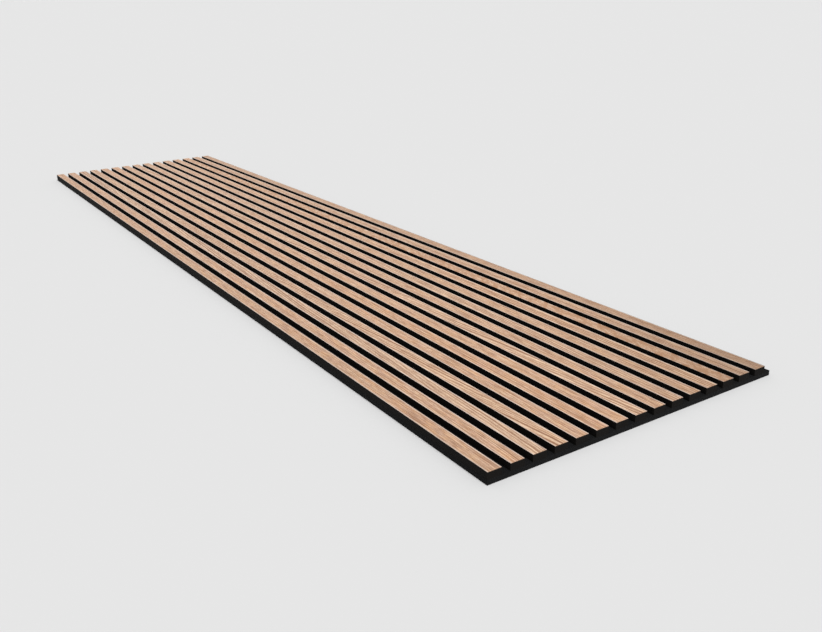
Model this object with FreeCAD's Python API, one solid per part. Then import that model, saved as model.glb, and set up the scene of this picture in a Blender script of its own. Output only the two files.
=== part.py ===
import FreeCAD, Part
import os

# Acoustic slat wall panel, lying on its back with the slats up
#
# A sheet of black polyester felt carries a row of slats. Each slat is a bar of
# black-dyed fibreboard with a thin oak veneer glued on its face. The slats are
# glued and stapled to the felt from behind: each staple's crown is pulled a
# little way into the felt, and its two legs run through the felt into the bar.
#
# The first slat is flush with the felt's left edge. After the last slat the
# felt runs on by one channel width, so that the next panel on the wall keeps
# the rhythm.
#
# Frame, in millimetres: X across the slats, Y along them, Z up out of the face.
# The origin is at the middle of the felt's back, which meets the wall.

# Panel and slats
PANEL_LENGTH = 2600.0
SLAT_COUNT = 15
SLAT_WIDTH = 25.0
CHANNEL_WIDTH = 15.0

# Thicknesses, from the wall outwards
FELT_THICKNESS = 9.0
CORE_THICKNESS = 11.4
VENEER_THICKNESS = 0.6

# Width and depth of the sanded arris along a veneer's two long edges
ARRIS = 0.25

# Staples: flat wire bent into a U, with its crown along the slat
STAPLE_ROWS = 6
STAPLE_END_DISTANCE = 50.0
WIRE_WIDTH = 1.2
WIRE_THICKNESS = 0.7
CROWN_LENGTH = 12.0
CROWN_SINK = 0.5
BEND_MITRE = 0.45
LEG_BITE = 7.5
POINT_LENGTH = 1.5

# Worked out from the sizes above
PITCH = SLAT_WIDTH + CHANNEL_WIDTH
PANEL_WIDTH = SLAT_COUNT * PITCH
LEFT_EDGE = -PANEL_WIDTH / 2
NEAR_END = -PANEL_LENGTH / 2
CORE_BOTTOM = FELT_THICKNESS
CORE_TOP = CORE_BOTTOM + CORE_THICKNESS
STAPLE_TOP = CORE_BOTTOM + LEG_BITE
CROWN_INSIDE = CROWN_SINK + WIRE_THICKNESS

PARTS_FOLDER = "parts"


def bar_along_y(outline):
    """A bar as long as the panel, with an outline given as (x, z) corners."""
    corners = [FreeCAD.Vector(x, NEAR_END, z) for x, z in outline]
    face = Part.Face(Part.makePolygon(corners + corners[:1]))
    return face.extrude(FreeCAD.Vector(0, PANEL_LENGTH, 0))


def block(x_middle, y_low, y_high, z_low, z_high):
    """A block one wire wide: the room that a stretch of staple wire takes."""
    corner = FreeCAD.Vector(x_middle - WIRE_WIDTH / 2, y_low, z_low)
    return Part.makeBox(WIRE_WIDTH, y_high - y_low, z_high - z_low, corner)


def slat_left(index):
    """X of a slat's left side; slats count from the panel's left edge."""
    return LEFT_EDGE + index * PITCH


def staple_places(index):
    """(x, y) of the middle of each staple behind one slat, in a row along it."""
    x_middle = slat_left(index) + SLAT_WIDTH / 2
    first = NEAR_END + STAPLE_END_DISTANCE
    step = (PANEL_LENGTH - 2 * STAPLE_END_DISTANCE) / (STAPLE_ROWS - 1)
    return [(x_middle, first + row * step) for row in range(STAPLE_ROWS)]


def staple(x_middle, y_middle):
    """A U of flat wire with mitred outer bends and chisel points."""
    half = CROWN_LENGTH / 2
    right_side = [
        (half - BEND_MITRE, CROWN_SINK),
        (half, CROWN_SINK + BEND_MITRE),
        (half, STAPLE_TOP - POINT_LENGTH),
        (half - WIRE_THICKNESS, STAPLE_TOP),
        (half - WIRE_THICKNESS, CROWN_INSIDE),
    ]
    left_side = [(-y, z) for y, z in reversed(right_side)]
    x = x_middle - WIRE_WIDTH / 2
    corners = [FreeCAD.Vector(x, y_middle + y, z) for y, z in right_side + left_side]
    face = Part.Face(Part.makePolygon(corners + corners[:1]))
    return face.extrude(FreeCAD.Vector(WIRE_WIDTH, 0, 0))


def leg_spans(y_middle):
    """(low, high) along Y of a staple's two legs."""
    half = CROWN_LENGTH / 2
    near = (y_middle - half, y_middle - half + WIRE_THICKNESS)
    far = (y_middle + half - WIRE_THICKNESS, y_middle + half)
    return [near, far]


def staple_room_in_felt(x_middle, y_middle):
    """The groove that a crown lies in and the two slits that its legs run through."""
    half = CROWN_LENGTH / 2
    groove = block(x_middle, y_middle - half, y_middle + half, 0, CROWN_INSIDE)
    slits = [
        block(x_middle, low, high, CROWN_INSIDE, FELT_THICKNESS)
        for low, high in leg_spans(y_middle)
    ]
    return groove.fuse(slits).removeSplitter()


def felt_backing():
    """The felt sheet, with the room that the staples take in it."""
    corner = FreeCAD.Vector(LEFT_EDGE, NEAR_END, 0)
    sheet = Part.makeBox(PANEL_WIDTH, PANEL_LENGTH, FELT_THICKNESS, corner)
    room = []
    for index in range(SLAT_COUNT):
        room += [staple_room_in_felt(x, y) for x, y in staple_places(index)]
    return sheet.cut(Part.makeCompound(room))


def slat_core(index):
    """A slat's fibreboard bar, with a pocket round each staple leg."""
    left = slat_left(index)
    right = left + SLAT_WIDTH
    outline = [
        (left, CORE_BOTTOM),
        (right, CORE_BOTTOM),
        (right, CORE_TOP),
        (left, CORE_TOP),
    ]
    pockets = []
    for x_middle, y_middle in staple_places(index):
        for low, high in leg_spans(y_middle):
            pockets.append(block(x_middle, low, high, CORE_BOTTOM, STAPLE_TOP))
    return bar_along_y(outline).cut(Part.makeCompound(pockets))


def slat_veneer(index):
    """A slat's oak face, with its long edges sanded to a small arris."""
    left = slat_left(index)
    right = left + SLAT_WIDTH
    top = CORE_TOP + VENEER_THICKNESS
    outline = [
        (left, CORE_TOP),
        (right, CORE_TOP),
        (right, top - ARRIS),
        (right - ARRIS, top),
        (left + ARRIS, top),
        (left, top - ARRIS),
    ]
    return bar_along_y(outline)


def back_staples():
    """All the staples, as separate solids in one group."""
    group = []
    for index in range(SLAT_COUNT):
        group += [staple(x, y) for x, y in staple_places(index)]
    return Part.makeCompound(group)


def save(shape, name):
    """Writes one piece's file."""
    shape.exportStep(os.path.join(PARTS_FOLDER, name + ".step"))


os.makedirs(PARTS_FOLDER, exist_ok=True)
save(felt_backing(), "felt_backing")
save(back_staples(), "back_staples")
for slat_index in range(SLAT_COUNT):
    number = f"{slat_index + 1:02d}"
    save(slat_core(slat_index), "slat_" + number + "_core")
    save(slat_veneer(slat_index), "slat_" + number + "_veneer")
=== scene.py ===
"""Looks of an acoustic slat wall panel: oak slats on black felt, lying with the slats up."""

import math

import bpy
import numpy as np
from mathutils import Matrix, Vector


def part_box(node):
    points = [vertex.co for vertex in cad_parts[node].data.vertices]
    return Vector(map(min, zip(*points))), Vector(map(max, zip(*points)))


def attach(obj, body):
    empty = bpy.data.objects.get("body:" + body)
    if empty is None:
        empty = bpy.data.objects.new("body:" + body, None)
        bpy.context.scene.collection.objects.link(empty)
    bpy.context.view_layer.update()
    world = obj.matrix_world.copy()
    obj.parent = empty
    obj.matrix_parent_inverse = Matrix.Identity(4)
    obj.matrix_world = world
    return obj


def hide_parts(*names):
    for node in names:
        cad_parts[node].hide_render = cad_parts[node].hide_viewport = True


MM = 0.001

# Camera: the photograph's view, with its place in metres, its turn in degrees and its lens in millimetres
CAMERA_PLACE = (-0.9230, -2.1053, 0.6303)
CAMERA_TURN = (69.326, 1.657, -32.964)
CAMERA_LENS = 38.065

# Light: an even room, brighter below for the panel's back, and a soft sun from the near side
ROOM_LIGHT = 0.30
LIGHT_BELOW = 0.85
SUN_STRENGTH = 3.05
SUN_DIRECTION = (-0.10, -0.68, 0.72)
SUN_ANGLE = 30.0

# The room as gloss mirrors it: a lighter and a darker level, and where it goes from one to the other, to the
# right, as a share of the mirrored direction
MIRRORED_LIGHT = 0.72
MIRRORED_DARK = 0.15
MIRRORED_FADE = (0.30, 0.85)

# Floor: a wide frame just under the panel, with the background's grey
PALE_GREY = (0.791, 0.791, 0.791)
FLOOR_SIZE = 1200.0
FLOOR_DROP = 0.2 * MM
FLOOR_LAP = 1.2 * MM

# Slats
SLAT_COUNT = 15
ARRIS_RADIUS = 0.25 * MM
CORE_EDGE_RADIUS = 0.12 * MM
ARRIS_STEPS = 4
SLAT_LENGTH_STEPS = 10

# The map that a veneer's texture is baked through. It has rows, and their height is measured round the
# section, in millimetres: the room under the top face, where the back face and the ends start past it, how
# wide the back is drawn, and how much higher than the top face the row is in all
MAP_ROWS = 5
MAP_BELOW = 0.9
MAP_BACK_START = 1.1
MAP_BACK_WIDTH = 0.5
MAP_END_START = 1.9
MAP_PAST_TOP = 3.6
VENEER_THICKNESS = 0.6

# Both ends lie in the first row, as shares of its length: the near one's start, their length, and the step
# from the near one to the far one
MAP_END_ALONG = 0.1
MAP_END_LENGTH = 0.3
MAP_END_STEP = 0.4

# A face points along an axis if more than this share of its normal does
FACING = 0.5

# Veneers that differ from the plain straight-grained ones, by slat number from the left: how far their lines
# drift to the right for each millimetre along, how bold they are, how curly the figure is, and how bright
GRAIN_DRIFT = {2: 0.01, 3: 0.045, 4: -0.075, 8: -0.09, 9: 0.03, 10: 0.02}
BOLD_GRAIN = {3: 1.2, 4: 1.05, 8: 1.15, 9: 0.3, 10: 0.9, 11: 0.3, 12: 0.6, 13: 0.6, 14: 0.5, 15: 0.3}
CURLY_FIGURE = {13: 1.15, 6: 0.25}
SLAT_TONE = {
    1: 0.93, 3: 1.02, 4: 1.05, 5: 0.99, 6: 1.06, 8: 1.11, 9: 1.03,
    10: 1.08, 12: 1.08, 13: 1.10, 14: 1.02, 15: 0.89,
}

# Each of these numbers by the name of its attribute, with the value that a plain veneer has
SLAT_NUMBERS = {
    "Drift": (GRAIN_DRIFT, 0.0),
    "Bold": (BOLD_GRAIN, 0.0),
    "Curly": (CURLY_FIGURE, 0.0),
    "Tone": (SLAT_TONE, 1.0),
}

# Painted shade: the veneer's colour is darkened a little towards the near right corner, for light that falls
# off there; where it starts and ends, in millimetres, and how much, as a share
PAINTED_SHADE_RIGHT = (-60.0, 300.0)
PAINTED_SHADE_NEAR = (-800.0, -1300.0)
PAINTED_SHADE_SHARE = 0.24

# Staples
STAPLE_ROWS = 6
WIRE_WIDTH = 1.2 * MM
WIRE_THICKNESS = 0.7 * MM
CROWN_LENGTH = 12.0 * MM
BEND_RADIUS = 0.75 * MM
BEND_STEPS = 4
POINT_LENGTH = 1.5 * MM
POINT_NARROWING = 0.7

# Points of a wire's middle line: a crown's end, a shoulder and a tip on each side. Counted out from the
# middle of the crown they lie at 0.5, 1.5 and 2.5, and the last two numbers here part them.
WIRE_POINTS = 6
PAST_CROWN = 1.0
PAST_SHOULDER = 2.0

# Felt: lines of the mesh round a staple, the pull of its crown, and the softened cut edges, in millimetres
DENT_ACROSS = (-6.0, -3.2, -1.5, -0.6, 0.6, 1.5, 3.2, 6.0)
DENT_ALONG = (-14.0, -10.0, -8.0, -6.6, -5.6, -3.0, 0.0, 3.0, 5.6, 6.6, 8.0, 10.0, 14.0)
DENT_DEPTH = 0.68
DENT_REACH = 6.0
CHANNEL_LINES = (13.0, 16.5, 20.0, 23.5, 27.0)
EDGE_LINES = (0.0, 0.2, 0.7)
EDGE_RADIUS = 0.7
LINE_STEP = 20.0
LINE_DIGITS = 3
UNEVENNESS = 0.12
UNEVENNESS_SEED = 7

# Oak, in linear colour
OAK_MIDDLE = (0.960, 0.558, 0.305, 1.0)
OAK_LIGHT = (1.000, 0.750, 0.530, 1.0)
OAK_ROSY = (0.880, 0.560, 0.430, 1.0)
OAK_RING = (0.320, 0.150, 0.078, 1.0)
OAK_PORE = (0.190, 0.085, 0.045, 1.0)
OAK_CURL = (0.500, 0.275, 0.155, 1.0)
OAK_EDGE = (0.900, 0.750, 0.655, 1.0)
OAK_END_GRAIN = (0.130, 0.075, 0.048, 1.0)
WARM_TINT = (1.000, 0.985, 0.955, 1.0)
COOL_TINT = (0.985, 1.000, 1.020, 1.0)
TINT_SEED = 40.0

# Black parts and steel, in linear colour
FELT_DARK = (0.0035, 0.0035, 0.0038, 1.0)
FELT_FIBRE = (0.0160, 0.0160, 0.0170, 1.0)
BOARD_DARK = (0.0040, 0.0034, 0.0030, 1.0)
BOARD_SPECK = (0.0120, 0.0098, 0.0083, 1.0)
STEEL_LIGHT = (0.640, 0.640, 0.620, 1.0)
STEEL_DARK = (0.420, 0.425, 0.425, 1.0)

# Detail and roughness of the noise, for plain surfaces and for wood
PLAIN_NOISE = (3.0, 0.55)
WOOD_NOISE = (6.0, 0.68)

# The grain's long and short waves: their lengths across and along in millimetres, their detail, and how far
# they move the grain. A slat's grain also leans to one side, by up to half of the last number.
LONG_WAVES = (240.0, 420.0)
LONG_WAVE_DETAIL = 1.0
LONG_WAVE_SHIFT = 18.0
SHORT_WAVES = (9.0, 60.0)
SHORT_WAVE_DETAIL = 2.0
SHORT_WAVE_SHIFT = 1.8
SLAT_LEAN = 0.012

# Growth rings in a millimetre: the fewest, how many more a slat may have, and how a bold one changes that
RINGS_LEAST = 0.20
RINGS_SPREAD = 0.06
RINGS_IF_BOLD = -0.06

# How many rings further on each slat starts than the one before it, and how uneven the rings' widths are
RING_SLAT_STEP = 13.7
UNEVEN_RING_SCALE = 0.4
UNEVEN_RING_DETAIL = 1.0
UNEVEN_RING_SHIFT = 1.2

# Early wood: the parts of a ring in which it fades and in which the next ring's starts; the seed's step from
# slat to slat; how a random draw sets its strength in a ring; and how strong it is on a plain slat, and how
# much stronger on a bold one
EARLY_FADE = (0.25, 0.65)
EARLY_START = (0.88, 1.0)
EARLY_SLAT_STEP = 91.7
EARLY_DRAW = (0.10, 0.90)
EARLY_STRENGTH = (0.50, 1.0)
EARLY_PLAIN = 0.65
EARLY_IF_BOLD = 0.35

# The veneer's grain: how often each layer changes in a millimetre across and along, its seed, and the levels
# of the noise between which it comes in
GRAIN_LAYERS = {
    "rosy": (0.10, 0.030, 30.0, 0.42, 0.58),
    "band": (0.16, 0.005, 0.0, 0.40, 0.60),
    "line": (0.50, 0.013, 90.0, 0.48, 0.59),
    "streak": (0.34, 0.030, 60.0, 0.49, 0.61),
    "hair": (1.00, 0.045, 120.0, 0.48, 0.58),
    "gleam": (0.75, 0.025, 180.0, 0.50, 0.60),
    "breaks": (1.40, 0.022, 150.0, 0.40, 0.60),
    "pore": (4.20, 0.160, 0.0, 0.53, 0.61),
}

# The order in which the layers colour the veneer, each with its share and its colour
GRAIN_COLOURS = (
    ("rosy", 0.80, OAK_ROSY),
    ("band", 0.55, OAK_LIGHT),
    ("late", 0.60, OAK_LIGHT),
    ("gleam", 0.72, OAK_LIGHT),
    ("line", 0.68, OAK_RING),
    ("streak", 0.28, OAK_RING),
    ("hair", 0.62, OAK_RING),
    ("early", 0.90, OAK_RING),
    ("pale edge", 0.92, OAK_EDGE),
    ("pore", 0.80, OAK_PORE),
    ("curl", 0.85, OAK_CURL),
)

# How strong the pores are all over, and how much stronger in early wood
PORES_ALL_OVER = 0.25
PORES_IN_EARLY = 0.75

# Edges and ends of a veneer, in millimetres in from them: a paler strip along each long edge, with the share
# of it that is broken up in streaks, the black stain of the slat's side, and the end grain
PALE_EDGE = (0.9, 3.4)
PALE_EDGE_BROKEN = 0.55
STAINED_EDGE = (0.25, 0.45)
END_GRAIN = (0.10, 0.02)

# Curly figure: how often it changes in a millimetre, and its levels
CURL_SCALE = (0.080, 0.050, 0.0)
CURL_LEVELS = (0.44, 0.58)

# Lacquered oak's roughness, and the heights of its surface in millimetres
OAK_ROUGHNESS = 0.46
PORE_ROUGHNESS = 0.18
HAIR_ROUGHNESS = 0.06
PORE_HEIGHT = -0.06
EARLY_HEIGHT = -0.03

# Fibreboard: specks and saw lines. A layer says how often it changes in a millimetre each way, its seed, and
# the levels of the noise between which it comes in.
SPECK_LAYER = ((2.6, 0.9, 2.6), 3.0, 0.46, 0.75)
SAWN_LAYER = ((0.2, 0.012, 5.0), 5.0, 0.30, 0.75)
SPECK_SHARE = 0.55
SAWN_SHARE = 0.20
BOARD_ROUGHNESS = 0.86
SPECK_ROUGHNESS = -0.12
BOARD_SPECULAR = 0.10
SPECK_HEIGHT = 0.05
SAWN_HEIGHT = 0.03

# Felt: layers of fibres, each turned by some degrees about a slanting axis, and clouds in how thick they lie
FIBRE_TURNS = (12.0, 74.0, 131.0)
FIBRE_AXIS = (0.2, 0.1, 1.0)
FIBRE_SCALE = (2.8, 0.32, 2.2)
FIBRE_LEVELS = (0.50, 0.72)
FIBRE_HEIGHT = 0.22
CLOUD_LAYER = ((0.045, 0.03, 0.05), 8.0, 0.25, 0.75)
FIBRE_SHARE = 0.45
CLOUD_SHARE = 0.35
FELT_ROUGHNESS = 0.98
FIBRE_ROUGHNESS = -0.10
FELT_SPECULAR = 0.08
FELT_SHEEN = 0.015
FELT_SHEEN_ROUGHNESS = 0.6

# Galvanised wire: dull patches and drawing lines
DULL_LAYER = ((0.9, 0.5, 0.9), 2.0, 0.35, 0.70)
DRAWN_LAYER = ((14.0, 0.4, 14.0), 6.0, 0.30, 0.75)
STEEL_ROUGHNESS = 0.30
DULL_ROUGHNESS = 0.18
DRAWN_HEIGHT = 0.01


# Node helpers

def set_inputs(tree, made, inputs):
    """Gives a node its inputs; each is a plain value, or a socket to link from."""
    for key, value in inputs.items():
        if isinstance(value, bpy.types.NodeSocket):
            tree.links.new(value, made.inputs[key])
        else:
            made.inputs[key].default_value = value


def node(tree, kind, inputs=None, **settings):
    """Adds a node with its settings and its inputs."""
    made = tree.nodes.new(kind)
    for name, value in settings.items():
        setattr(made, name, value)
    set_inputs(tree, made, inputs or {})
    return made


def maths(tree, operation, *values):
    """The result of a Math node in a shader or geometry tree."""
    return node(tree, "ShaderNodeMath", dict(enumerate(values)), operation=operation).outputs[0]


def vector(tree, x=0.0, y=0.0, z=0.0):
    """A vector put together from three numbers or sockets."""
    return node(tree, "ShaderNodeCombineXYZ", {"X": x, "Y": y, "Z": z}).outputs[0]


def ramp(tree, value, low, high, to_low=0.0, to_high=1.0):
    """A smooth step of value from low to high, put out between two other values."""
    made = node(
        tree,
        "ShaderNodeMapRange",
        {"Value": value, "From Min": low, "From Max": high, "To Min": to_low, "To Max": to_high},
        interpolation_type="SMOOTHSTEP",
    )
    return made.outputs["Result"]


# A Mix node has several sockets of one name, so they go by number: 0 is the share, 2 and 3 are the numbers,
# and 6 and 7 the colours. The results are output 0 and output 2.

def blend_number(tree, share, first, second):
    """A number between first and second."""
    return node(tree, "ShaderNodeMix", {0: share, 2: first, 3: second}).outputs[0]


def blend_colour(tree, share, first, second):
    """A colour between first and second."""
    return node(tree, "ShaderNodeMix", {0: share, 6: first, 7: second}, data_type="RGBA").outputs[2]


def random_numbers(tree, seed):
    """Three random numbers that follow from a seed."""
    made = node(tree, "ShaderNodeTexWhiteNoise", {"W": seed}, noise_dimensions="1D")
    parts = node(tree, "ShaderNodeSeparateXYZ", {0: made.outputs["Color"]})
    return parts.outputs[0], parts.outputs[1], parts.outputs[2]


def new_group(name, kind, inputs, outputs):
    """A node group with named sockets, and its input and output nodes."""
    group = bpy.data.node_groups.new(name, kind)
    for side, sockets in (("INPUT", inputs), ("OUTPUT", outputs)):
        for label, socket_type in sockets:
            group.interface.new_socket(label, in_out=side, socket_type="NodeSocket" + socket_type)
    return group, group.nodes.new("NodeGroupInput").outputs, group.nodes.new("NodeGroupOutput").inputs


# Shader groups

def stretched_noise_group():
    """Noise drawn out along one way: grain, fibres, pores, saw marks and patches all use it."""
    numbers = ("Seed", "Low", "High", "Detail", "Roughness")
    inputs = [("Place", "Vector"), ("Scale", "Vector"), *((label, "Float") for label in numbers)]
    group, given, result = new_group("stretched noise", "ShaderNodeTree", inputs, [("Mask", "Float")])
    scaled = node(group, "ShaderNodeVectorMath", {0: given["Place"], 1: given["Scale"]}, operation="MULTIPLY")
    noise = node(
        group,
        "ShaderNodeTexNoise",
        {
            "Vector": scaled.outputs[0],
            "W": given["Seed"],
            "Scale": 1.0,
            "Detail": given["Detail"],
            "Roughness": given["Roughness"],
        },
        noise_dimensions="4D",
    )
    group.links.new(ramp(group, noise.outputs[0], given["Low"], given["High"]), result["Mask"])


def stretched_noise(tree, place, scale, seed, low, high, fineness=PLAIN_NOISE):
    """A mask from the stretched noise group; fineness is the noise's detail and roughness."""
    detail, roughness = fineness
    given = {
        "Place": place,
        "Scale": scale,
        "Seed": seed,
        "Low": low,
        "High": high,
        "Detail": detail,
        "Roughness": roughness,
    }
    made = node(tree, "ShaderNodeGroup", given, node_tree=bpy.data.node_groups["stretched noise"])
    return made.outputs["Mask"]


def waves(group, across, along, slat, lengths, detail):
    """Waves of the grain, about zero, from minus a half to a half."""
    x = maths(group, "MULTIPLY", across, 1 / lengths[0])
    y = maths(group, "MULTIPLY", along, 1 / lengths[1])
    inputs = {"Vector": vector(group, x, y, slat), "Scale": 1.0, "Detail": detail}
    noise = node(group, "ShaderNodeTexNoise", inputs)
    return maths(group, "SUBTRACT", noise.outputs[0], 0.5)


def oak_rings(group, across, along, slat, drift, bold):
    """A point's place in the growth rings, counted in rings, and its place across the wandering grain."""
    lean, more_rings, _ = random_numbers(group, slat)
    slope = maths(group, "MULTIPLY_ADD", maths(group, "SUBTRACT", lean, 0.5), SLAT_LEAN, drift)
    long_waves = waves(group, across, along, slat, LONG_WAVES, LONG_WAVE_DETAIL)
    short_waves = waves(group, across, along, slat, SHORT_WAVES, SHORT_WAVE_DETAIL)
    moved = maths(group, "SUBTRACT", across, maths(group, "MULTIPLY", slope, along))
    moved = maths(group, "MULTIPLY_ADD", long_waves, LONG_WAVE_SHIFT, moved)
    moved = maths(group, "MULTIPLY_ADD", short_waves, SHORT_WAVE_SHIFT, moved)

    density = maths(group, "MULTIPLY_ADD", more_rings, RINGS_SPREAD, RINGS_LEAST)
    density = maths(group, "MULTIPLY_ADD", bold, RINGS_IF_BOLD, density)
    position = maths(group, "MULTIPLY", moved, density)
    position = maths(group, "MULTIPLY_ADD", slat, RING_SLAT_STEP, position)
    inputs = {"W": position, "Scale": UNEVEN_RING_SCALE, "Detail": UNEVEN_RING_DETAIL}
    uneven = node(group, "ShaderNodeTexNoise", inputs, noise_dimensions="1D")
    return maths(group, "MULTIPLY_ADD", uneven.outputs[0], UNEVEN_RING_SHIFT, position), moved


def early_wood(group, position, slat, bold):
    """A ring's dark early wood, which fades to plain late wood and starts again just before the next ring."""
    part = maths(group, "FRACT", position)
    ring = maths(group, "FLOOR", position)
    strong, _, _ = random_numbers(group, maths(group, "MULTIPLY_ADD", slat, EARLY_SLAT_STEP, ring))
    fading = ramp(group, part, *EARLY_FADE, 1.0, 0.0)
    starting = ramp(group, part, *EARLY_START)
    early = maths(group, "MAXIMUM", fading, starting)
    early = maths(group, "MULTIPLY", early, ramp(group, strong, *EARLY_DRAW, *EARLY_STRENGTH))
    return maths(group, "MULTIPLY", early, maths(group, "MULTIPLY_ADD", bold, EARLY_IF_BOLD, EARLY_PLAIN))


def grain_masks(group, given, place, early):
    """Where each layer of the grain comes in, by the layer's name."""
    slat = given["Slat"]
    late = maths(group, "MULTIPLY", maths(group, "SUBTRACT", 1.0, early), given["Bold"])
    masks = {"early": early, "late": late}
    for layer, (across, along, seed, low, high) in GRAIN_LAYERS.items():
        own_seed = maths(group, "ADD", slat, seed)
        masks[layer] = stretched_noise(group, place, (across, along, 0.0), own_seed, low, high, WOOD_NOISE)
    pores = maths(group, "MULTIPLY_ADD", early, PORES_IN_EARLY, PORES_ALL_OVER)
    masks["pore"] = maths(group, "MULTIPLY", masks["pore"], pores)
    # A paler strip along each long edge, broken up in streaks
    pale = ramp(group, given["From edge"], *PALE_EDGE, 1.0, 0.0)
    pale_kept = maths(group, "MULTIPLY_ADD", masks["breaks"], -PALE_EDGE_BROKEN, 1.0)
    masks["pale edge"] = maths(group, "MULTIPLY", pale, pale_kept)
    slanting = maths(group, "SUBTRACT", given["Along"], given["Across"])
    curl = stretched_noise(group, vector(group, given["Across"], slanting), CURL_SCALE, slat, *CURL_LEVELS)
    masks["curl"] = maths(group, "MULTIPLY", curl, given["Curly"])
    return masks


def oak_group():
    """Matt-lacquered oak veneer, in millimetres across and along one slat."""
    labels = ("Across", "Along", "From edge", "End grain", "Slat", *SLAT_NUMBERS)
    inputs = [(label, "Float") for label in labels]
    outputs = [("Colour", "Color"), ("Roughness", "Float"), ("Height", "Float")]
    group, given, result = new_group("oak veneer", "ShaderNodeTree", inputs, outputs)
    slat = given["Slat"]
    position, moved = oak_rings(group, given["Across"], given["Along"], slat, given["Drift"], given["Bold"])
    early = early_wood(group, position, slat, given["Bold"])
    masks = grain_masks(group, given, vector(group, moved, given["Along"]), early)

    colour = OAK_MIDDLE
    for layer, share, paint in GRAIN_COLOURS:
        colour = blend_colour(group, maths(group, "MULTIPLY", masks[layer], share), colour, paint)

    hue, _, _ = random_numbers(group, maths(group, "ADD", slat, TINT_SEED))
    tint = blend_colour(group, hue, WARM_TINT, COOL_TINT)
    # The tone scales the colour: the slat's own brightness, with the painted shade towards the near right
    # corner on top
    tint = node(group, "ShaderNodeVectorMath", {0: tint, "Scale": given["Tone"]}, operation="SCALE")
    tinted = node(group, "ShaderNodeVectorMath", {0: colour, 1: tint.outputs[0]}, operation="MULTIPLY")

    # The ends show end grain, and the slat's side is stained black, to just past its arris
    colour = blend_colour(group, given["End grain"], tinted.outputs[0], OAK_END_GRAIN)
    stained = ramp(group, given["From edge"], *STAINED_EDGE, 1.0, 0.0)
    colour = blend_colour(group, stained, colour, BOARD_DARK)
    group.links.new(colour, result["Colour"])

    rough = maths(group, "MULTIPLY_ADD", masks["pore"], PORE_ROUGHNESS, OAK_ROUGHNESS)
    rough = maths(group, "MULTIPLY_ADD", masks["hair"], HAIR_ROUGHNESS, rough)
    group.links.new(rough, result["Roughness"])
    height = maths(group, "MULTIPLY", masks["pore"], PORE_HEIGHT)
    height = maths(group, "MULTIPLY_ADD", early, EARLY_HEIGHT, height)
    group.links.new(height, result["Height"])


# Materials

def new_material(name):
    """A node material, with its tree, its Principled shader and its Object coordinates in millimetres."""
    material = bpy.data.materials.new(name)
    material.use_nodes = True
    tree = material.node_tree
    shader = tree.nodes["Principled BSDF"]
    coordinates = tree.nodes.new("ShaderNodeTexCoord").outputs["Object"]
    scaled = node(tree, "ShaderNodeVectorMath", {0: coordinates, "Scale": 1 / MM}, operation="SCALE")
    return material, tree, shader, scaled.outputs[0]


def bump(tree, height):
    """The surface's normal from a height in millimetres."""
    return node(tree, "ShaderNodeBump", {"Height": height, "Strength": 1.0, "Distance": MM}).outputs[0]


def attribute(tree, name):
    """A number stored on the piece's mesh."""
    return node(tree, "ShaderNodeAttribute", attribute_name=name).outputs["Fac"]


def oak_material():
    """Oak veneer; each slat's own numbers are on its mesh."""
    material, tree, shader, place = new_material("oak_veneer")
    low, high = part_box("slat_01_veneer")
    half_width = (high.x - low.x) / MM / 2
    half_length = (high.y - low.y) / MM / 2
    parts = node(tree, "ShaderNodeSeparateXYZ", {0: place})
    middle = maths(tree, "MULTIPLY", attribute(tree, "Middle"), 1 / MM)
    across = maths(tree, "SUBTRACT", parts.outputs["X"], middle)
    along = parts.outputs["Y"]
    end_far, end_near = END_GRAIN
    end_grain = ramp(tree, maths(tree, "ABSOLUTE", along), half_length - end_far, half_length - end_near)

    own = {label: attribute(tree, label) for label in ("Slat", *SLAT_NUMBERS)}
    # Painted shade: the colour is darkened towards the near right corner, for light that falls off there, by
    # scaling each slat's tone
    to_right = ramp(tree, parts.outputs["X"], *PAINTED_SHADE_RIGHT)
    to_near = ramp(tree, along, *PAINTED_SHADE_NEAR)
    darker = maths(tree, "MULTIPLY_ADD", maths(tree, "MULTIPLY", to_right, to_near), -PAINTED_SHADE_SHARE, 1.0)
    own["Tone"] = maths(tree, "MULTIPLY", own["Tone"], darker)

    given = {
        "Across": across,
        "Along": along,
        "From edge": maths(tree, "SUBTRACT", half_width, maths(tree, "ABSOLUTE", across)),
        "End grain": end_grain,
        **own,
    }
    oak = node(tree, "ShaderNodeGroup", given, node_tree=bpy.data.node_groups["oak veneer"])
    set_inputs(tree, shader, {
        "Base Color": oak.outputs["Colour"],
        "Roughness": oak.outputs["Roughness"],
        "Normal": bump(tree, oak.outputs["Height"]),
    })
    return material


def board_material():
    """Black-dyed fibreboard: fine specks of fibre, and faint saw lines along the bars."""
    material, tree, shader, place = new_material("dyed_fibreboard")
    speck = stretched_noise(tree, place, *SPECK_LAYER)
    sawn = stretched_noise(tree, place, *SAWN_LAYER)
    colour = blend_colour(tree, maths(tree, "MULTIPLY", speck, SPECK_SHARE), BOARD_DARK, BOARD_SPECK)
    colour = blend_colour(tree, maths(tree, "MULTIPLY", sawn, SAWN_SHARE), colour, BOARD_SPECK)
    height = maths(tree, "MULTIPLY_ADD", sawn, SAWN_HEIGHT, maths(tree, "MULTIPLY", speck, SPECK_HEIGHT))
    set_inputs(tree, shader, {
        "Base Color": colour,
        "Roughness": maths(tree, "MULTIPLY_ADD", speck, SPECK_ROUGHNESS, BOARD_ROUGHNESS),
        "Specular IOR Level": BOARD_SPECULAR,
        "Normal": bump(tree, height),
    })
    return material


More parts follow.
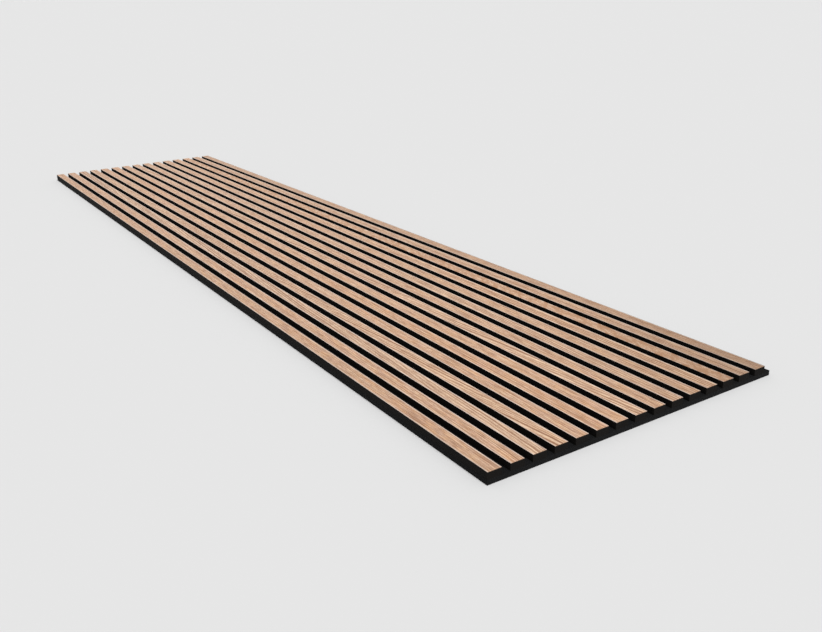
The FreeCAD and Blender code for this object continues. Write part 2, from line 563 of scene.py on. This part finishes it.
def felt_material():
    """Needled polyester felt: fine fibres that cross in every direction, with a soft sheen."""
    material, tree, shader, place = new_material("felt")
    layers = []
    for turn in FIBRE_TURNS:
        inputs = {"Vector": place, "Angle": math.radians(turn), "Axis": FIBRE_AXIS}
        turned = node(tree, "ShaderNodeVectorRotate", inputs)
        layers.append(stretched_noise(tree, turned.outputs[0], FIBRE_SCALE, turn, *FIBRE_LEVELS))
    fibres = maths(tree, "MAXIMUM", maths(tree, "MAXIMUM", layers[0], layers[1]), layers[2])
    cloud = stretched_noise(tree, place, *CLOUD_LAYER)
    share = maths(tree, "MULTIPLY", fibres, maths(tree, "MULTIPLY_ADD", cloud, CLOUD_SHARE, FIBRE_SHARE))
    set_inputs(tree, shader, {
        "Base Color": blend_colour(tree, share, FELT_DARK, FELT_FIBRE),
        "Roughness": maths(tree, "MULTIPLY_ADD", fibres, FIBRE_ROUGHNESS, FELT_ROUGHNESS),
        "Specular IOR Level": FELT_SPECULAR,
        "Sheen Weight": FELT_SHEEN,
        "Sheen Roughness": FELT_SHEEN_ROUGHNESS,
        "Normal": bump(tree, maths(tree, "MULTIPLY", fibres, FIBRE_HEIGHT)),
    })
    return material


def staple_material():
    """Galvanised wire with faint drawing lines and dull patches."""
    material, tree, shader, place = new_material("staple_wire")
    dull = stretched_noise(tree, place, *DULL_LAYER)
    drawn = stretched_noise(tree, place, *DRAWN_LAYER)
    set_inputs(tree, shader, {
        "Base Color": blend_colour(tree, dull, STEEL_LIGHT, STEEL_DARK),
        "Roughness": maths(tree, "MULTIPLY_ADD", dull, DULL_ROUGHNESS, STEEL_ROUGHNESS),
        "Metallic": 1.0,
        "Normal": bump(tree, maths(tree, "MULTIPLY", drawn, DRAWN_HEIGHT)),
    })
    return material


def floor_material():
    """A plain pale floor that is clear from below, so that the panel's back can be looked at."""
    material = bpy.data.materials.new("floor")
    material.use_nodes = True
    tree = material.node_tree
    tree.nodes.clear()
    top = node(tree, "ShaderNodeBsdfDiffuse", {"Color": (*PALE_GREY, 1.0)})
    below = node(tree, "ShaderNodeBsdfTransparent")
    back = node(tree, "ShaderNodeNewGeometry").outputs["Backfacing"]
    mixed = node(tree, "ShaderNodeMixShader", {0: back, 1: top.outputs[0], 2: below.outputs[0]})
    node(tree, "ShaderNodeOutputMaterial", {"Surface": mixed.outputs[0]})
    return material


# Geometry trees

def rectangle(tree, width, height):
    """A rectangular section to draw along a path."""
    sizes = {"Width": width, "Height": height}
    return node(tree, "GeometryNodeCurvePrimitiveQuadrilateral", sizes, mode="RECTANGLE").outputs[0]


def round_corners(tree, curve, steps, radius):
    """A curve with its corners rounded."""
    inputs = {"Curve": curve, "Count": steps, "Radius": radius}
    return node(tree, "GeometryNodeFilletCurve", inputs, mode="POLY").outputs[0]


def draw_along(tree, path, section):
    """A section drawn along a path, closed at both ends."""
    inputs = {"Curve": path, "Profile Curve": section, "Fill Caps": True}
    return node(tree, "GeometryNodeCurveToMesh", inputs).outputs[0]


def move(tree, geometry, by):
    """Geometry moved by a vector."""
    return node(tree, "GeometryNodeTransform", {"Geometry": geometry, "Translation": by}).outputs[0]


def store(tree, geometry, name, value):
    """Stores a number on every point of a mesh."""
    inputs = {"Geometry": geometry, "Name": name, "Value": value}
    made = node(tree, "GeometryNodeStoreNamedAttribute", inputs, data_type="FLOAT", domain="POINT")
    return made.outputs[0]


def finish_tree(tree, geometry, material, result):
    """Ends a tree with flat shading, real geometry and its material."""
    flat = node(tree, "GeometryNodeSetShadeSmooth", {"Geometry": geometry, "Shade Smooth": False})
    real = node(tree, "GeometryNodeRealizeInstances", {"Geometry": flat.outputs[0]})
    dressed = node(tree, "GeometryNodeSetMaterial", {"Geometry": real.outputs[0], "Material": material})
    tree.links.new(dressed.outputs[0], result["Geometry"])


def slat_tree():
    """One bar of a slat: a section with softened corners, drawn along the slat."""
    sizes = ["Middle", "Bottom", "Near end", "Width", "Height", "Length", "Top radius", "Bottom radius",
             "Slat", *SLAT_NUMBERS]
    inputs = [("Geometry", "Geometry"), *((size, "Float") for size in sizes), ("Material", "Material")]
    tree, given, result = new_group("slat bar", "GeometryNodeTree", inputs, [("Geometry", "Geometry")])
    place = node(tree, "ShaderNodeSeparateXYZ", {0: node(tree, "GeometryNodeInputPosition").outputs[0]})
    upper = maths(tree, "GREATER_THAN", place.outputs["Y"], 0.0)
    radius = blend_number(tree, upper, given["Bottom radius"], given["Top radius"])
    section = rectangle(tree, given["Width"], given["Height"])
    section = round_corners(tree, section, ARRIS_STEPS, radius)

    far_end = maths(tree, "ADD", given["Near end"], given["Length"])
    ends = {"Start": vector(tree, 0.0, given["Near end"]), "End": vector(tree, 0.0, far_end)}
    path = node(tree, "GeometryNodeCurvePrimitiveLine", ends)
    point_count = SLAT_LENGTH_STEPS + 1
    steps = node(tree, "GeometryNodeResampleCurve", {"Curve": path.outputs[0], "Count": point_count})
    level = node(tree, "GeometryNodeSetCurveNormal", {"Curve": steps.outputs[0]}, mode="Z_UP")
    bar = draw_along(tree, level.outputs[0], section)

    middle_height = maths(tree, "MULTIPLY_ADD", given["Height"], 0.5, given["Bottom"])
    placed = move(tree, bar, vector(tree, given["Middle"], 0.0, middle_height))
    for label in ("Middle", "Slat", *SLAT_NUMBERS):
        placed = store(tree, placed, label, given[label])
    finish_tree(tree, placed, given["Material"], result)
    return tree


def staple_wire(tree, given):
    """One staple: flat wire bent into a U, with rounded bends and drawn-out points."""
    index = node(tree, "GeometryNodeInputIndex").outputs[0]
    steps = maths(tree, "SUBTRACT", index, (WIRE_POINTS - 1) / 2)
    side = maths(tree, "SIGN", steps)
    from_middle = maths(tree, "ABSOLUTE", steps)
    is_crown = maths(tree, "LESS_THAN", from_middle, PAST_CROWN)
    is_leg = maths(tree, "GREATER_THAN", from_middle, PAST_CROWN)
    is_tip = maths(tree, "GREATER_THAN", from_middle, PAST_SHOULDER)

    half = maths(tree, "MULTIPLY", maths(tree, "SUBTRACT", given["Crown"], given["Wire thickness"]), 0.5)
    shoulder = maths(tree, "SUBTRACT", given["Leg"], given["Point"])
    rise = maths(tree, "MULTIPLY", is_leg, shoulder)
    rise = maths(tree, "MULTIPLY_ADD", is_tip, given["Point"], rise)
    place = vector(tree, 0.0, maths(tree, "MULTIPLY", side, half), rise)
    points = node(tree, "GeometryNodeMeshLine", {"Count": WIRE_POINTS})
    bent = node(tree, "GeometryNodeSetPosition", {"Geometry": points.outputs[0], "Position": place})
    line = node(tree, "GeometryNodeMeshToCurve", {"Mesh": bent.outputs[0]})

    narrowing = maths(tree, "MULTIPLY_ADD", is_tip, -POINT_NARROWING, 1.0)
    sized = node(tree, "GeometryNodeSetCurveRadius", {"Curve": line.outputs[0], "Radius": narrowing})
    middle_radius = maths(tree, "MULTIPLY_ADD", given["Wire thickness"], -0.5, given["Bend radius"])
    bend = maths(tree, "MULTIPLY", is_crown, middle_radius)
    rounded = round_corners(tree, sized.outputs[0], BEND_STEPS, bend)
    return draw_along(tree, rounded, rectangle(tree, given["Wire width"], given["Wire thickness"]))


def staple_tree():
    """Staples on a grid of places."""
    sizes = ["Crown", "Leg", "Wire width", "Wire thickness", "Bend radius", "Point", "Pitch", "Row step"]
    inputs = [("Geometry", "Geometry"), *((size, "Float") for size in sizes)]
    inputs += [("Columns", "Int"), ("Rows", "Int"), ("Grid middle", "Vector"), ("Material", "Material")]
    tree, given, result = new_group("staple rows", "GeometryNodeTree", inputs, [("Geometry", "Geometry")])
    column_steps = maths(tree, "SUBTRACT", given["Columns"], 1)
    row_steps = maths(tree, "SUBTRACT", given["Rows"], 1)
    grid = node(
        tree,
        "GeometryNodeMeshGrid",
        {
            "Size X": maths(tree, "MULTIPLY", column_steps, given["Pitch"]),
            "Size Y": maths(tree, "MULTIPLY", row_steps, given["Row step"]),
            "Vertices X": given["Columns"],
            "Vertices Y": given["Rows"],
        },
    )
    places = move(tree, grid.outputs[0], given["Grid middle"])
    inputs = {"Points": places, "Instance": staple_wire(tree, given)}
    placed = node(tree, "GeometryNodeInstanceOnPoints", inputs)
    finish_tree(tree, placed.outputs[0], given["Material"], result)
    return tree


def grow(name, tree, values):
    """A piece made by a geometry tree, turned into a plain mesh."""
    piece = bpy.data.objects.new(name, bpy.data.meshes.new(name))
    bpy.context.scene.collection.objects.link(piece)
    modifier = piece.modifiers.new("tree", "NODES")
    modifier.node_group = tree
    for item in tree.interface.items_tree:
        if item.in_out == "INPUT" and item.name in values:
            modifier[item.identifier] = values[item.name]
    graph = bpy.context.evaluated_depsgraph_get()
    finished = piece.evaluated_get(graph)
    mesh = bpy.data.meshes.new_from_object(finished, preserve_all_data_layers=True, depsgraph=graph)
    piece.modifiers.clear()
    piece.data = mesh
    mesh.name = name
    return piece


def fold_map(piece, low, high):
    """Lays a veneer's faces out in rows, one above the other, in the map its texture is baked through."""
    mesh = piece.data
    middle = (low.x + high.x) / 2 / MM
    beside = (high.x - low.x) / 2 / MM
    top = high.z / MM
    length = (high.y - low.y) / MM
    row_length = length / MAP_ROWS

    # Each corner of each face, with its place, and with its face's normal and centre
    corner_count = len(mesh.loops)
    vertex = np.empty(corner_count, int)
    mesh.loops.foreach_get("vertex_index", vertex)
    places = np.empty(len(mesh.vertices) * 3)
    mesh.vertices.foreach_get("co", places)
    x, y, z = places.reshape(-1, 3)[vertex].T / MM
    across = x - middle
    counts = np.array([len(face.loop_indices) for face in mesh.polygons])
    face_of = np.repeat(np.arange(len(counts)), counts)
    normals = np.array([face.normal for face in mesh.polygons])[face_of]
    centres = np.array([face.center[1] for face in mesh.polygons])[face_of] / MM
    row = np.clip((centres + length / 2) // row_length, 0, MAP_ROWS - 1)

    # Round the section: from one side over the top to the other; then the back face and the ends, drawn small
    round_section = across + np.sign(across) * (top - z)
    back = normals[:, 2] < -FACING
    end = abs(normals[:, 1]) > FACING
    share_across = (across + beside) / (2 * beside)
    round_section[back] = beside + MAP_BACK_START + MAP_BACK_WIDTH * share_across[back]
    round_section[end] = beside + MAP_END_START + (z[end] - top + VENEER_THICKNESS)
    u = (y + length / 2) / row_length - row
    u[end] = MAP_END_ALONG + MAP_END_LENGTH * share_across[end] + MAP_END_STEP * (y[end] > 0)
    row[end] = 0
    v = (row + (round_section + beside + MAP_BELOW) / (2 * beside + MAP_PAST_TOP)) / MAP_ROWS
    layer = mesh.uv_layers.new(name="OFBake")
    layer.data.foreach_set("uv", np.column_stack([u, v]).ravel())


# Pieces

def add_bar(tree, cad_node, ending, values):
    """One bar of a slat, in place of its solid."""
    low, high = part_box(cad_node)
    piece = grow(cad_node + ending, tree, {
        "Middle": (low.x + high.x) / 2,
        "Bottom": low.z,
        "Near end": low.y,
        "Width": high.x - low.x,
        "Height": high.z - low.z,
        "Length": high.y - low.y,
        **values,
    })
    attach(piece, "root")
    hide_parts(cad_node)
    return piece


def add_slats(board, oak):
    """Each slat's bar and its oak face."""
    tree = slat_tree()
    for number in range(1, SLAT_COUNT + 1):
        core = f"slat_{number:02d}_core"
        add_bar(tree, core, "_bar", {"Bottom radius": CORE_EDGE_RADIUS, "Material": board})
        veneer = f"slat_{number:02d}_veneer"
        own = {label: numbers.get(number, usual) for label, (numbers, usual) in SLAT_NUMBERS.items()}
        values = {"Top radius": ARRIS_RADIUS, "Slat": float(number), "Material": oak, **own}
        face = add_bar(tree, veneer, "_face", values)
        fold_map(face, *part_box(veneer))


def add_staples(material):
    """All the staples behind the felt."""
    low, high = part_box("back_staples")
    middle = (low + high) / 2
    piece = grow("back_staple_rows", staple_tree(), {
        "Crown": CROWN_LENGTH,
        "Leg": high.z - low.z - WIRE_THICKNESS / 2,
        "Wire width": WIRE_WIDTH,
        "Wire thickness": WIRE_THICKNESS,
        "Bend radius": BEND_RADIUS,
        "Point": POINT_LENGTH,
        "Pitch": (high.x - low.x - WIRE_WIDTH) / (SLAT_COUNT - 1),
        "Row step": (high.y - low.y - CROWN_LENGTH) / (STAPLE_ROWS - 1),
        "Columns": SLAT_COUNT,
        "Rows": STAPLE_ROWS,
        "Grid middle": (middle.x, middle.y, low.z + WIRE_THICKNESS / 2),
        "Material": material,
    })
    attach(piece, "root")
    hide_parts("back_staples")


def felt_lines(low, high, places, offsets):
    """Where the felt's mesh has lines one way: at offsets from the staples, and close by the two edges."""
    lines = [place + offset for place in places for offset in offsets]
    lines += [low + offset for offset in EDGE_LINES] + [high - offset for offset in EDGE_LINES]
    lines = np.unique(np.round(lines, LINE_DIGITS))
    return lines[(lines >= low) & (lines <= high)]


def felt_mesh(x, y, top, bottom):
    """A closed sheet between two grids of heights, in millimetres."""
    points = np.concatenate([
        np.column_stack([x.ravel(), y.ravel(), top.ravel()]),
        np.column_stack([x.ravel(), y.ravel(), bottom.ravel()]),
    ])
    index = np.arange(x.size).reshape(x.shape)
    quads = np.stack([index[:-1, :-1], index[:-1, 1:], index[1:, 1:], index[1:, :-1]], -1).reshape(-1, 4)
    rim = np.concatenate([index[0, :-1], index[:-1, -1], index[-1, :0:-1], index[:0:-1, 0]])
    following = np.roll(rim, -1)
    sides = np.column_stack([rim, rim + x.size, following + x.size, following])
    faces = np.concatenate([quads, quads[:, ::-1] + x.size, sides])
    mesh = bpy.data.meshes.new("felt_sheet")
    mesh.from_pydata((points * MM).tolist(), [], faces.tolist())
    return mesh


def add_felt(material):
    """The felt sheet: softened cut edges, a slightly uneven face and a dent round each staple's crown."""
    low, high = (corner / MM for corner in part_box("felt_backing"))
    first, last = (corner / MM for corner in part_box("back_staples"))
    half_wire = WIRE_WIDTH / MM / 2
    half_crown = CROWN_LENGTH / MM / 2
    columns = np.linspace(first.x + half_wire, last.x - half_wire, SLAT_COUNT)
    rows = np.linspace(first.y + half_crown, last.y - half_crown, STAPLE_ROWS)
    x_lines = felt_lines(low.x, high.x, columns, DENT_ACROSS + CHANNEL_LINES)
    between = np.arange(low.y + LINE_STEP, high.y, LINE_STEP)
    y_lines = np.unique(np.concatenate([felt_lines(low.y, high.y, rows, DENT_ALONG), between]))
    x, y = np.meshgrid(x_lines, y_lines)

    # The cut edges are rounded, and the face dips a little here and there
    to_edge = np.minimum.reduce([x - low.x, high.x - x, y - low.y, high.y - y])
    inside = np.clip(EDGE_RADIUS - to_edge, 0, EDGE_RADIUS)
    softened = EDGE_RADIUS - np.sqrt(EDGE_RADIUS**2 - inside**2)
    draws = np.random.default_rng(UNEVENNESS_SEED).random(x.shape)
    dips = draws * UNEVENNESS * (to_edge > EDGE_RADIUS)

    # The back is pulled in round each crown, by a smooth step of the distance from it
    nearest_x = abs(x[..., None] - columns).min(-1)
    nearest_y = abs(y[..., None] - rows).min(-1)
    distance = np.hypot(nearest_x, np.clip(nearest_y - half_crown, 0, None))
    pull = np.clip(1 - distance / DENT_REACH, 0, 1)
    dents = DENT_DEPTH * pull**2 * (3 - 2 * pull)

    mesh = felt_mesh(x, y, high.z - softened - dips, low.z + softened + dents)
    mesh.materials.append(material)
    piece = bpy.data.objects.new("felt_sheet", mesh)
    bpy.context.scene.collection.objects.link(piece)
    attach(piece, "root")
    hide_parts("felt_backing")


# Room

def add_floor():
    """A wide floor just under the panel, open where the panel covers it, to let light on the panel's back."""
    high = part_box("felt_backing")[1]
    outer = (FLOOR_SIZE / 2, FLOOR_SIZE / 2)
    inner = (high.x - FLOOR_LAP, high.y - FLOOR_LAP)
    corners = []
    for x, y in (outer, inner):
        corners += [(-x, -y, -FLOOR_DROP), (x, -y, -FLOOR_DROP), (x, y, -FLOOR_DROP), (-x, y, -FLOOR_DROP)]
    sides = len(corners) // 2
    faces = []
    for side in range(sides):
        following = (side + 1) % sides
        faces.append((side, following, following + sides, side + sides))
    mesh = bpy.data.meshes.new("floor")
    mesh.from_pydata(corners, [], faces)
    mesh.materials.append(floor_material())
    floor = bpy.data.objects.new("floor", mesh)
    bpy.context.scene.collection.objects.link(floor)


def add_room_light():
    """Even light from the room, mirrored darker to the right, and the pale grey that the camera sees."""
    world = bpy.data.worlds.new("room")
    world.use_nodes = True
    tree = world.node_tree
    tree.nodes.clear()
    path = node(tree, "ShaderNodeLightPath").outputs
    way = node(tree, "ShaderNodeTexCoord").outputs["Generated"]
    way = node(tree, "ShaderNodeSeparateXYZ", {0: way}).outputs
    sheen = ramp(tree, way["X"], *MIRRORED_FADE, MIRRORED_LIGHT - ROOM_LIGHT, MIRRORED_DARK - ROOM_LIGHT)
    mirrored = maths(tree, "MAXIMUM", path["Is Glossy Ray"], path["Is Transmission Ray"])
    level = maths(tree, "MULTIPLY_ADD", mirrored, sheen, ROOM_LIGHT)
    level = blend_number(tree, maths(tree, "LESS_THAN", way["Z"], 0.0), level, LIGHT_BELOW)
    level = blend_number(tree, path["Is Camera Ray"], level, PALE_GREY[0])
    room = node(tree, "ShaderNodeBackground", {"Color": (1.0, 1.0, 1.0, 1.0), "Strength": level})
    node(tree, "ShaderNodeOutputWorld", {"Surface": room.outputs[0]})
    bpy.context.scene.world = world


def add_sun():
    """A soft sun from the near side."""
    data = bpy.data.lights.new("sun", "SUN")
    data.energy = SUN_STRENGTH
    data.angle = math.radians(SUN_ANGLE)
    sun = bpy.data.objects.new("sun", data)
    sun.rotation_euler = Vector(SUN_DIRECTION).to_track_quat("Z", "Y").to_euler()
    bpy.context.scene.collection.objects.link(sun)


def add_camera():
    """The photograph's view."""
    data = bpy.data.cameras.new("camera")
    data.lens = CAMERA_LENS
    camera = bpy.data.objects.new("camera", data)
    camera.location = CAMERA_PLACE
    camera.rotation_euler = [math.radians(angle) for angle in CAMERA_TURN]
    bpy.context.scene.collection.objects.link(camera)
    bpy.context.scene.camera = camera


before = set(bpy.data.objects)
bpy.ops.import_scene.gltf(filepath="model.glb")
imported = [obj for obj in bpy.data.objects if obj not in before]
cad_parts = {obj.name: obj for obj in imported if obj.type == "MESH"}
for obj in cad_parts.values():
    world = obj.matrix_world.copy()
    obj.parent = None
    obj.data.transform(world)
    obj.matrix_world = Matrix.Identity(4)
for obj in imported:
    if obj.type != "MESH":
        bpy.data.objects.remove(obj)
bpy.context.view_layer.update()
stretched_noise_group()
oak_group()
add_slats(board_material(), oak_material())
add_staples(staple_material())
add_felt(felt_material())
add_floor()
add_room_light()
add_sun()
add_camera()
bpy.context.scene.view_settings.view_transform = "Standard"
